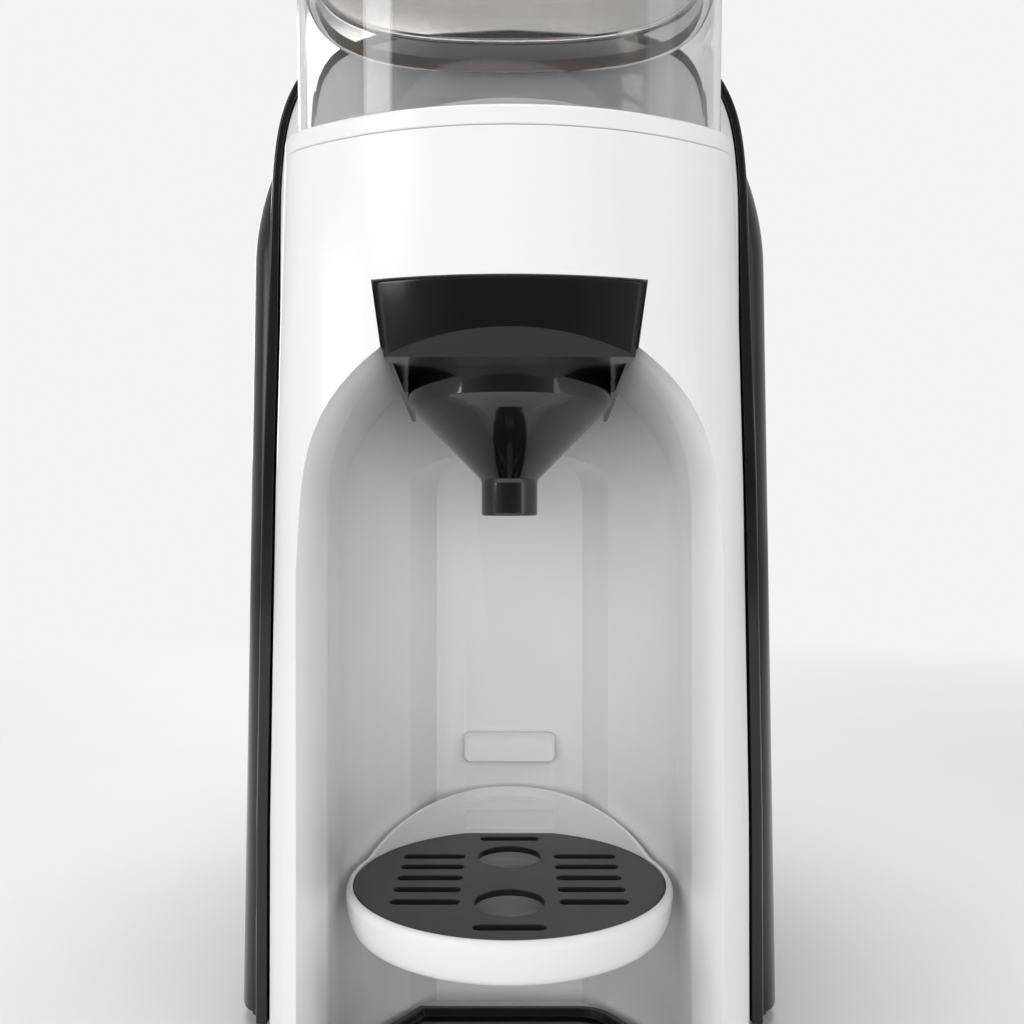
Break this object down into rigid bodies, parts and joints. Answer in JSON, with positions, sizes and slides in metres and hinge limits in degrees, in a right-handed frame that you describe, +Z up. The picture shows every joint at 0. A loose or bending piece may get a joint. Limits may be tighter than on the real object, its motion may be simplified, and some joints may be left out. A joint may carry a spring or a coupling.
{
  "type": "baby formula maker",
  "caption": "Countertop machine that mixes powder from a top container with warm water from a rear tank into a bottle in its front bay, with a pull-out funnel drawer and a drip tray.",
  "frame": {"origin": "middle of the machine's footprint, on the surface its rubber feet stand on", "axes": "+Z up, -Y towards the front, +X towards the machine's right side, which carries the control panel"},
  "size_m": [0.1938, 0.319, 0.3494],
  "materials": {
    "white_plastic": "smooth semi-gloss white plastic",
    "trim_plastic": "smooth black plastic",
    "rear_plastic": "glossy dark grey plastic",
    "black_plastic": "polished black plastic",
    "charcoal_plastic": "fine matte charcoal plastic",
    "container_plastic": "clear polished plastic",
    "lid_plastic": "smooth dark warm grey plastic",
    "seal_silicone": "translucent silicone",
    "tank_plastic": "smoky clear polished plastic",
    "tray_plastic": "smooth white plastic",
    "grate_plastic": "satin dark grey plastic",
    "nylon": "natural off-white nylon",
    "steel": "plain steel",
    "pinion_brass": "machined brass",
    "foot_rubber": "matte black rubber",
    "hose_silicone": "clear silicone hose",
    "circuit_board": "green circuit board",
    "display_glass": "polished dark window",
    "button_plastic": "satin grey plastic"
  },
  "bodies": {
    "body": {"front_housing": "white_plastic", "bay_liner": "white_plastic", "channel_panel": "white_plastic", "drawer_guide": "white_plastic", "deck_ring": "white_plastic", "arch_panel": "white_plastic", "frame_trim": "trim_plastic", "rear_housing": "rear_plastic", "base_cover": "charcoal_plastic", "base_screw_front_left": "steel", "base_screw_front_right": "steel", "base_screw_rear_left": "steel", "base_screw_rear_right": "steel", "foot_front_left": "foot_rubber", "foot_front_right": "foot_rubber", "foot_rear_left": "foot_rubber", "foot_rear_right": "foot_rubber", "floor_plate": "trim_plastic", "gear_motor": "steel", "drive_plate": "steel", "powder_chute": "nylon", "water_nozzle": "steel", "inlet_socket": "charcoal_plastic", "water_pump": "charcoal_plastic", "water_heater": "steel", "inlet_hose": "hose_silicone", "pump_hose": "hose_silicone", "outlet_hose": "hose_silicone", "main_board": "circuit_board", "power_inlet": "charcoal_plastic", "control_panel": "black_plastic", "display_window": "display_glass"},
    "drawer": {"funnel_drawer": "black_plastic", "funnel": "black_plastic"},
    "tray": {"drip_tray": "tray_plastic"},
    "grate": {"tray_grate": "grate_plastic"},
    "container": {"powder_container": "container_plastic"},
    "lid": {"container_lid": "lid_plastic", "lid_seal": "seal_silicone"},
    "wheel": {"stirring_wheel": "nylon"},
    "gear": {"drive_gear": "nylon", "drive_coupling": "charcoal_plastic"},
    "pinion": {"motor_pinion": "pinion_brass"},
    "tank": {"water_tank": "tank_plastic", "valve_body": "nylon", "valve_spring": "steel"},
    "tank_cover": {"tank_lid": "rear_plastic"},
    "plunger": {"valve_plunger": "charcoal_plastic", "valve_seal": "foot_rubber"},
    "key_1": {"button_1": "button_plastic"},
    "key_2": {"button_2": "button_plastic"},
    "key_3": {"button_3": "button_plastic"},
    "key_4": {"button_4": "button_plastic"},
    "start_key": {"start_button": "button_plastic"}
  },
  "joints": [
    {"name": "drawer_slide", "type": "slide", "parent": "body", "child": "drawer", "axis": [0, -1, 0], "range_m": [0, 0.095]},
    {"name": "tray_slide", "type": "slide", "parent": "body", "child": "tray", "axis": [0, -1, 0], "range_m": [0, 0.06]},
    {"name": "grate_lift", "type": "slide", "parent": "tray", "child": "grate", "axis": [0, 0, 1], "range_m": [0, 0.03]},
    {"name": "container_lift", "type": "slide", "parent": "body", "child": "container", "axis": [0, 0, 1], "range_m": [0, 0.07]},
    {"name": "lid_lift", "type": "slide", "parent": "container", "child": "lid", "axis": [0, 0, 1], "range_m": [0, 0.04]},
    {"name": "gear_spin", "type": "hinge", "parent": "body", "child": "gear", "pos_m": [0, -0.106, 0.2638], "axis": [0, 0, 1], "continuous": true},
    {"name": "pinion_spin", "type": "hinge", "parent": "body", "child": "pinion", "pos_m": [0.0255, -0.106, 0.2638], "axis": [0, 0, 1], "continuous": true},
    {"name": "wheel_spin", "type": "hinge", "parent": "container", "child": "wheel", "pos_m": [0, -0.106, 0.2863], "axis": [0, 0, 1], "continuous": true},
    {"name": "tank_lift", "type": "slide", "parent": "body", "child": "tank", "axis": [0, 0, 1], "range_m": [0, 0.1]},
    {"name": "tank_lid_lift", "type": "slide", "parent": "tank", "child": "tank_cover", "axis": [0, 0, 1], "range_m": [0, 0.03]},
    {"name": "valve_lift", "type": "slide", "parent": "tank", "child": "plunger", "axis": [0, 0, 1], "range_m": [0, 0.003], "stiffness_N_per_m": 150, "deforming": ["valve_spring"]},
    {"name": "key_1_press", "type": "slide", "parent": "body", "child": "key_1", "axis": [-0.9856, 0.1668, -0.0274], "range_m": [0, 0.0008], "stiffness_N_per_m": 400},
    {"name": "key_2_press", "type": "slide", "parent": "body", "child": "key_2", "axis": [-0.9856, 0.1668, -0.0274], "range_m": [0, 0.0008], "stiffness_N_per_m": 400},
    {"name": "key_3_press", "type": "slide", "parent": "body", "child": "key_3", "axis": [-0.9856, 0.1668, -0.0274], "range_m": [0, 0.0008], "stiffness_N_per_m": 400},
    {"name": "key_4_press", "type": "slide", "parent": "body", "child": "key_4", "axis": [-0.9856, 0.1668, -0.0274], "range_m": [0, 0.0008], "stiffness_N_per_m": 400},
    {"name": "start_key_press", "type": "slide", "parent": "body", "child": "start_key", "axis": [-0.9856, 0.1668, -0.0274], "range_m": [0, 0.0008], "stiffness_N_per_m": 400}
  ],
  "couplings": [
    {"joint": "pinion_spin", "follows": "gear_spin", "ratio": -2.4},
    {"joint": "wheel_spin", "follows": "gear_spin", "ratio": 1}
  ]
}
